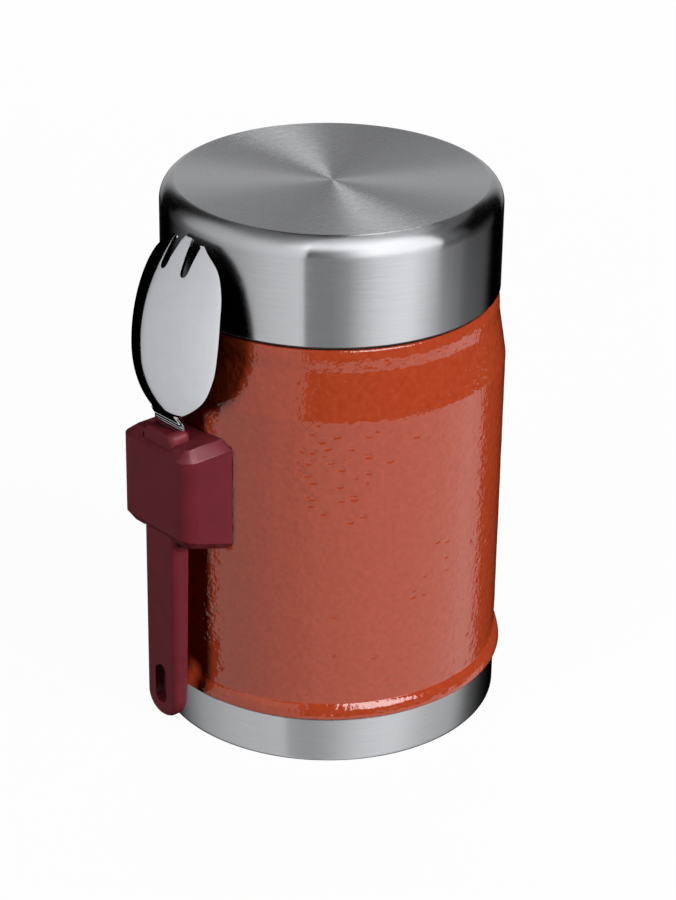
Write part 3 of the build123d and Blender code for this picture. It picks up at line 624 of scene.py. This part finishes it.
def arc(centre, radius, angles):
    """Points on an arc of a profile, at degrees from straight up outwards."""
    return [centre + radius * Vector((math.sin(t), math.cos(t))) for t in np.radians(angles)]


# turned steel: a silver whose rings spread each light into a fan from the middle
turned_steel = brushed_steel("stainless steel, turned", 0.24, 0.33, "C6C7CA", "D9DADD")
corner_at = Vector((LID_RADIUS - LID_CORNER, LID_TOP - LID_CORNER))
hem_at = Vector((LID_RADIUS - HEM, LID_LOW + HEM))
radii = (*np.linspace(0, TURNED_EDGE - 0.1, 30), TURNED_EDGE)
dish = [Vector((r, TURNED_MIDDLE + TURNED_RISE * (r / TURNED_EDGE) ** 2)) for r in radii]
roll = arc(corner_at, LID_CORNER, np.arange(CORNER_FROM, 91, 2))
hem = arc(hem_at, HEM, np.arange(90, 271, 15))
under = arc(corner_at, LID_CORNER - LID_SHEET, np.arange(90, CORNER_FROM, -6))
ceiling = [p - Vector((0, LID_SHEET)) for p in reversed(dish)]
BRUSHED, TURNED, INNER = 0, 1, 2
made = bmesh.new()
turned(made, [p * MM for p in dish], SIDES, finish=TURNED)
turned(made, [p * MM for p in (dish[-1], *roll)], SIDES, finish=BRUSHED)
turned(made, [p * MM for p in (roll[-1], *hem, *under)], SIDES, finish=BRUSHED)
turned(made, [p * MM for p in (under[-1], *ceiling)], SIDES, finish=INNER)
lid = placed("lid_cup", made, brushed, turned_steel, drawn)
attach(lid, "lid")
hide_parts("lid_shell")

# ---------------------------------------------------------------- spork head
# The spoon is pressed from polished sheet: its hollow faces the jar and its round back looks out. The
# three tines are cut into its end, and the narrow tab at its foot is moulded into the handle.
BACK = -56.7  # mm, the bowl's crest
CREST = 106.4
ROUND_ACROSS, ROUND_BELOW, ROUND_ABOVE = 23.8, 28.2, 46.9
SHEET = 0.9
EDGE = 0.4  # rounding of the sheet's edges
TANG_LOW, TANG_HALF = 55.8, 3.5
TAB_LOW, TAB_BACK, TAB_SLOPE = 89.85, -51.35, 0.577
TAB_RIDGES, RIDGE_HALF, RIDGE_HEIGHT = (90.8, 92.0), 0.11, 0.09
RIM = [(4.9, 94.0), (9.6, 97.0), (13.5, 101.0), (15.7, 107.0), (16.1, 114.0), (15.4, 121.0), (14.0, 127.0),
       (11.3, 132.0), (5.6, 136.4)]  # (half width, height)
SLOT_ROOT, SLOT_MIDDLE, SLOT_HALF = 130.4, 3.85, 1.05
OUTER_TIP, OUTER_TIP_INSIDE = 136.4, 5.0
CENTRE_TIP, CENTRE_TIP_HALF = 137.2, 1.45
MIDDLE_SPANS, SLOT_SPANS, SIDE_SPANS = 4, 8, 12


def smooth_through(points, per_span=12):
    """A smooth curve through 2-D points (centripetal), as a list of points."""
    spots = [Vector(p) for p in points]
    ends = [2 * spots[0] - spots[1], *spots, 2 * spots[-1] - spots[-2]]
    curve = []
    for p0, p1, p2, p3 in zip(ends, ends[1:], ends[2:], ends[3:]):
        t1 = (p1 - p0).length ** 0.5
        t2 = t1 + (p2 - p1).length ** 0.5
        t3 = t2 + (p3 - p2).length ** 0.5
        for k in range(per_span):
            t = t1 + (t2 - t1) * k / per_span
            a1 = p0 * (1 - t / t1) + p1 * (t / t1)
            a2 = p1.lerp(p2, (t - t1) / (t2 - t1))
            a3 = p2.lerp(p3, (t - t2) / (t3 - t2))
            b1 = a1.lerp(a2, t / t2)
            b2 = a2.lerp(a3, (t - t1) / (t3 - t1))
            curve.append(b1.lerp(b2, (t - t1) / (t2 - t1)))
    return [*curve, spots[-1]]


def bowl_back(x, z):
    """Y of the bowl's outer face at a place across and up."""
    along = ROUND_BELOW if z < CREST else ROUND_ABOVE
    reach = along - ROUND_ACROSS + math.sqrt(ROUND_ACROSS ** 2 - x * x)
    return BACK + along - math.sqrt(reach ** 2 - (z - CREST) ** 2)


def row_places(z):
    """Where the columns of a row lie across: two tines' outsides, both slots and the middle tine."""
    if z < TAB_LOW:
        half = TANG_HALF
    elif z <= RIM[0][1]:
        half = RIM[0][0]
    else:
        half = float(np.interp(z, rim_height, rim_half))
    up = max(0.0, z - SLOT_ROOT)
    narrowing = (SLOT_MIDDLE - SLOT_HALF - CENTRE_TIP_HALF) / (CENTRE_TIP - SLOT_ROOT)
    spreading = (OUTER_TIP_INSIDE - SLOT_MIDDLE - SLOT_HALF) / (OUTER_TIP - SLOT_ROOT)
    inner = SLOT_MIDDLE - SLOT_HALF - up * narrowing
    outer = SLOT_MIDDLE + SLOT_HALF + up * spreading
    shrink = min(1.0, half / (1.25 * (SLOT_MIDDLE + SLOT_HALF)))
    inner, outer = inner * shrink, outer * shrink
    right = [*np.linspace(0, inner, MIDDLE_SPANS + 1), *np.linspace(inner, outer, SLOT_SPANS + 1)[1:],
             *np.linspace(outer, half, SIDE_SPANS + 1)[1:]]
    return [-x for x in reversed(right[1:])] + right


def sheet_place(x, z):
    """The sheet's outer face at a place of a row: its Y, and its height, which dips round a slot's root."""
    up = z
    if z == SLOT_ROOT and abs(abs(x) - SLOT_MIDDLE) < SLOT_HALF:
        up = z - math.sqrt(SLOT_HALF ** 2 - (abs(x) - SLOT_MIDDLE) ** 2)
    if z < TAB_LOW:
        return TAB_BACK, up
    if z < RIM[0][1]:
        return TAB_BACK - TAB_SLOPE * (z - TAB_LOW) - (RIDGE_HEIGHT if z in TAB_RIDGES else 0), up
    return bowl_back(x, up), up


# polished steel: a soft-edged mirror, slightly hazed by the buffing wheel
BUFFED_PATCH = 6 * MM
mirror, tree = new_material("stainless steel, mirror polished")
place = node(tree, "TexCoord")
haze = node(
    tree, "TexNoise", [("Vector", place.outputs["Object"])], Scale=1 / BUFFED_PATCH, Detail=5.0, Roughness=0.7
)
buffed = node(
    tree, "MapRange", [("Value", haze.outputs["Fac"])], From_Min=0.3, From_Max=0.7, To_Min=0.04, To_Max=0.09
)
tint = node(tree, "ValToRGB", [("Fac", haze.outputs["Fac"])])
tint.color_ramp.elements[0].color = linear("D6D7DB")
tint.color_ramp.elements[0].position = 0.3
tint.color_ramp.elements[1].color = linear("DBDCE0")
tint.color_ramp.elements[1].position = 0.7
skin = node(
    tree, "BsdfPrincipled", [("Roughness", buffed.outputs[0]), ("Base Color", tint.outputs["Color"])],
    Metallic=1.0,
)
node(tree, "OutputMaterial", [("Surface", skin.outputs[0])])

rim = smooth_through(RIM)
rim_half = [p.x for p in rim]
rim_height = [p.y for p in rim]
# heights of the rows: the tang, the tab with its ridges, the bowl, the slots' roots and the tines
rows = [TANG_LOW, 60.0, 70.0, 80.0, TAB_LOW - 0.01]
rows += [TAB_LOW, *[ridge + step for ridge in TAB_RIDGES for step in (-RIDGE_HALF, 0, RIDGE_HALF)], 93.4]
rows += [*np.linspace(94.0, 97.0, 8), *np.linspace(97.8, 129.0, 42), SLOT_ROOT]
rows += [*np.linspace(131.0, OUTER_TIP, 11), CENTRE_TIP]
made = bmesh.new()
grid = []
for z in rows:
    row = []
    for x in row_places(z):
        y, up = sheet_place(x, z)
        row.append(made.verts.new(Vector((x, y, up)) * MM))
    grid.append(row)
middle = len(grid[0]) // 2
for z, low, high in zip(rows[1:], grid, grid[1:]):
    for k in range(len(low) - 1):
        column = abs(k + 0.5 - middle)
        in_slot = MIDDLE_SPANS < column < MIDDLE_SPANS + SLOT_SPANS
        past_tip = column > MIDDLE_SPANS + SLOT_SPANS and z > OUTER_TIP
        if z > SLOT_ROOT and (in_slot or past_tip):
            continue
        made.faces.new((low[k], low[k + 1], high[k + 1], high[k]))
bmesh.ops.delete(made, geom=[v for v in made.verts if not v.link_faces], context="VERTS")
spoon = placed("spork_spoon", made, mirror)
thicken = spoon.modifiers.new("sheet", "SOLIDIFY")
thicken.thickness = SHEET * MM
thicken.offset = -1
soften = spoon.modifiers.new("edge", "BEVEL")
soften.width = EDGE * MM
soften.segments = 3
soften.limit_method = "ANGLE"
soften.angle_limit = math.radians(50)
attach(spoon, "spork")
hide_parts("spork_head")

# ---------------------------------------------------------------- reflections
# A black tent keeps the white room out of the gloss. In it hang diffuser panels, each lit so that it
# shows in one finish alone, as a studio lights a jar's steel, enamel and plastic in separate takes.
PANEL_DISTANCE, PANEL_GAP = 1.0, 0.03  # each panel hangs a little further out than the one before
COLUMN_STEP, ROW_STEP = 4.0, 6.0  # degrees

# black felt: gives no light back
black_felt, tree = new_material("black felt")
nothing = node(tree, "Emission", Color=(0, 0, 0, 1), Strength=0.0)
node(tree, "OutputMaterial", [("Surface", nothing.outputs[0])])

# diffuser cloth: glows by its tone, and lets the panels behind it show through
diffuser, tree = new_material("diffuser cloth, lit from behind")
tone = node(tree, "Attribute", attribute_name="tone")
glow = node(tree, "Emission", [("Strength", tone.outputs["Fac"])], Color=(1, 1, 1, 1))
clear = node(tree, "BsdfTransparent", Color=(1, 1, 1, 1))
both = node(tree, "AddShader", [(0, glow.outputs[0]), (1, clear.outputs[0])])
node(tree, "OutputMaterial", [("Surface", both.outputs[0])])

hung = []


def panel(name, turns, rises, pieces):
    """A part of a sphere round the jar, from (degrees right of the camera, glow) and (degrees up, share)."""
    distance = PANEL_DISTANCE + PANEL_GAP * len(hung)
    columns = sorted({t for t, _ in turns} | set(np.arange(turns[0][0], turns[-1][0], COLUMN_STEP).tolist()))
    rows = sorted({r for r, _ in rises} | set(np.arange(rises[0][0], rises[-1][0], ROW_STEP).tolist()))
    verts = [studio_direction(t, r) * distance + JAR_MIDDLE for r in rows for t in columns]
    glow = np.outer(np.interp(rows, *zip(*rises)), np.interp(columns, *zip(*turns))).ravel()
    wide = len(columns)
    faces = [(j * wide + i, j * wide + i + 1, (j + 1) * wide + i + 1, (j + 1) * wide + i)
             for j in range(len(rows) - 1) for i in range(wide - 1)]
    mesh = bpy.data.meshes.new(name)
    mesh.from_pydata(verts, [], faces)
    mesh.attributes.new("tone", "FLOAT", "POINT").data.foreach_set("value", glow.astype(np.float32))
    mesh.materials.append(diffuser if pieces else black_felt)
    shown = bpy.data.objects.new(name, mesh)
    bpy.context.collection.objects.link(shown)
    shown.visible_camera = shown.visible_diffuse = shown.visible_transmission = shown.visible_shadow = False
    if pieces:
        lit = bpy.data.collections.new(name + "_lights")
        for piece in pieces:
            lit.objects.link(piece)
        shown.light_linking.receiver_collection = lit
    hung.append(shown)


panel(
    "lid_sides_panel",
    [(-130, 0.0), (-117, 0.06), (-104, 0.14), (-86, 0.26), (-73, 0.42), (-61, 0.51), (-49, 0.62), (-38, 0.72),
     (-22, 0.79), (-17.3, 0.79), (-16.3, 0.3), (-8, 0.28), (2, 0.28), (12, 0.37), (22, 0.65), (32, 0.88),
     (43, 1.0), (54, 1.05), (65, 0.82), (72, 0.6), (74, 0.5)],
    [(-62, 1), (5, 1)], [lid],
)
panel(
    "lid_right_panel",
    [(74, 0.58), (76, 0.48), (79, 0.53), (82, 0.37), (86, 0.44), (89, 0.3), (93, 0.35), (98, 0.21),
     (107, 0.16), (124, 0.13), (129, 0.05), (131, 0.0)],
    [(-62, 1), (-24, 1), (-12, 0.4), (5, 0.15)], [lid],
)
panel(
    "lid_left_sky",
    [(-122, 0.03), (-114, 0.1), (-108, 0.28), (-102, 0.45), (-84, 0.56), (-62, 0.64), (-44, 0.78), (-22, 0.9),
     (-15, 0.95)],
    [(5, 1), (38, 1), (45, 0.9), (52, 0.6), (57, 0.3), (62, 0.15), (68, 0.08), (90, 0.05)], [lid],
)
panel(
    "lid_high_softbox",
    [(-38, 0), (-30, 0.3), (-22, 0.5), (-15, 1.4), (0, 1.4), (14, 1.6), (30, 1.65), (55, 1.65), (74, 1.4),
     (77, 1.1), (80, 0.3), (84, 0.2), (130, 0.12), (150, 0.1)],
    [(38, 1), (52, 1), (58, 0.75), (66, 0.5), (74, 0.3), (90, 0.2)], [lid],
)
panel(
    "lid_low_softbox",
    [(-12, 0.12), (0, 0.25), (9, 0.55), (14, 0.9), (20, 1.3), (28, 1.6), (60, 1.5), (74, 1.35), (77, 0.18),
     (84, 0.2), (92, 0.1), (100, 0.03)],
    [(5, 1), (38, 1)], [lid],
)
panel(
    "lid_top_glow",
    [(-150, 0.15), (-100, 0.12), (-60, 0.2), (0, 0.3), (60, 0.4), (100, 0.5), (130, 0.4), (150, 0.3)],
    [(52, 0), (60, 1), (90, 1)], [lid],
)
panel(
    "lid_back_panel", [(144, 0), (154, 0.36), (165, 0.46), (195, 0.46), (206, 0.36), (216, 0)],
    [(-10, 1), (28, 1), (32, 0.64), (50, 0.5)], [lid],
)
panel("lid_top_lamp", [(157, 2.0), (174, 2.0)], [(48, 1), (66, 1)], [lid])
panel(
    "bead_softbox", [(13, 0), (18, 6), (26, 9.5), (52, 9.5), (58, 6), (63, 0)], [(8, 0), (14, 1), (70, 1)],
    [painted],
)
panel(
    "base_panel",
    [(-130, 0.0), (-119, 0.0), (-103, 0.27), (-89, 0.46), (-77, 0.54), (-60, 0.62), (-30, 0.67), (-26, 0.65),
     (-24, 0.48), (-16, 0.44), (-6, 0.45), (3, 0.53), (12, 0.64), (22, 0.78), (31, 0.86), (41, 0.91),
     (51, 0.89), (61, 0.78), (72, 0.64), (84, 0.59), (97, 0.53), (107, 0.26), (113, 0.12), (132, 0.01),
     (150, 0.0), (168, 0.0), (174, 0.35), (186, 0.35), (192, 0.0)],
    [(-90, 1), (90, 1)], [base],
)
panel("enamel_left_panel", [(-80, 0.8), (-15, 0.8)], [(-62, 0), (-54, 1), (10, 1), (60, 1)], [painted])
panel(
    "enamel_right_panel", [(-15, 0.9), (40, 1.05), (96, 1.2), (103, 1.25), (112, 0.85), (120, 0.6)],
    [(-62, 0), (-54, 1), (-17, 1)], [painted],
)
panel("enamel_back_panel", [(173, 2.5), (187, 2.5)], [(-62, 1), (40, 1)], [painted])
panel(
    "spoon_panel",
    [(-121, 0.46), (-112, 0.59), (-96, 0.64), (-70, 0.68), (-40, 0.76), (0, 0.95), (70, 0.95)],
    [(-80, 1), (60, 1)], [spoon],
)
moulded = [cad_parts[name] for name in ("spork_holder", "spork_handle")]
panel("plastic_panel", [(-100, 0.5), (100, 0.5)], [(-20, 0), (30, 1), (80, 1)], moulded)
panel("plastic_low_panel", [(-140, 0.12), (-50, 0.12)], [(-62, 1), (-5, 1)], moulded)
panel("plastic_softbox", [(70, 14.0), (140, 14.0)], [(30, 1), (80, 1)], moulded)
inside = [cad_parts[name] for name in
          ("inner_vessel", "lid_liner", "stopper_body", "stopper_cap", "vent_button")]
panel("open_jar_softbox", [(-180, 0.7), (180, 0.7)], [(10, 0.3), (40, 1), (90, 1)], inside)
panel("tent", [(-180, 0), (180, 0)], [(-90, 0), (90, 0)], [])

# A black card in the spoon's outline, without its slots, hangs behind it. With it hang a shelf under the
# lid's edge, one on the handle's end, a flag in the holder's side and two in the lanyard slot. Unseen by
# the camera, they paint dark reflections and shade: they keep glare out, stand in, all black, for spoon,
# holder and handle in the enamel's and the lid's reflections, and block the bounced light and gloss that
# would reach the enamel beside the spoon and the lanyard slot's inside, which go dark as painted shade.
CARD_WIDTH = [(100, 1.08), (112, 0.97), (120, 0.92), (132, 0.89)]  # (height, share of the spoon's width)
CARD_TOP, CARD_CLEARANCE = 135.5, 0.2
LID_SHELF = [(-15, -42.6, 114.3), (15, -42.6, 114.3), (15, -51, 114.3), (-15, -51, 114.3)]
HANDLE_SHELF = [(-4.2, -51.5, 89.95), (4.2, -51.5, 89.95), (4.2, -55.5, 89.95), (-4.2, -55.5, 89.95)]
HOLDER_FLAG = [(2, -46.5, 55), (11.5, -46.5, 55), (11.5, -46.5, 84), (2, -46.5, 84)]
SLOT_BACK = [(-2.3, -50.9, 13), (2.3, -50.9, 13), (2.3, -50.9, 24), (-2.3, -50.9, 24)]
SLOT_SIDE = [(2.3, -55.5, 13), (2.3, -51, 13), (2.3, -51, 24), (2.3, -55.5, 24)]
made = bmesh.new()
grid = []
for z in [z for z in rows if TAB_LOW <= z <= CARD_TOP]:
    wide = float(np.interp(z, *zip(*CARD_WIDTH)))
    row = []
    for x in row_places(z):
        y, up = sheet_place(x, z)
        row.append(made.verts.new(Vector((x * wide, y + SHEET + CARD_CLEARANCE, up)) * MM))
    grid.append(row)
for low, high in zip(grid, grid[1:]):
    for k in range(len(low) - 1):
        made.faces.new((low[k], low[k + 1], high[k + 1], high[k]))
for corners in (LID_SHELF, HANDLE_SHELF, HOLDER_FLAG, SLOT_BACK, SLOT_SIDE):
    made.faces.new([made.verts.new(Vector(corner) * MM) for corner in corners])
shade_card = placed("spoon_shade_card", made, black_felt)
# the card and its sheets give painted dark reflections and painted shade, seen only by gloss and bounced
# light
shade_card.visible_camera = shade_card.visible_transmission = shade_card.visible_shadow = False
for piece in (spoon, *moulded):
    piece.visible_glossy = False

bpy.context.scene.view_settings.view_transform = "Standard"
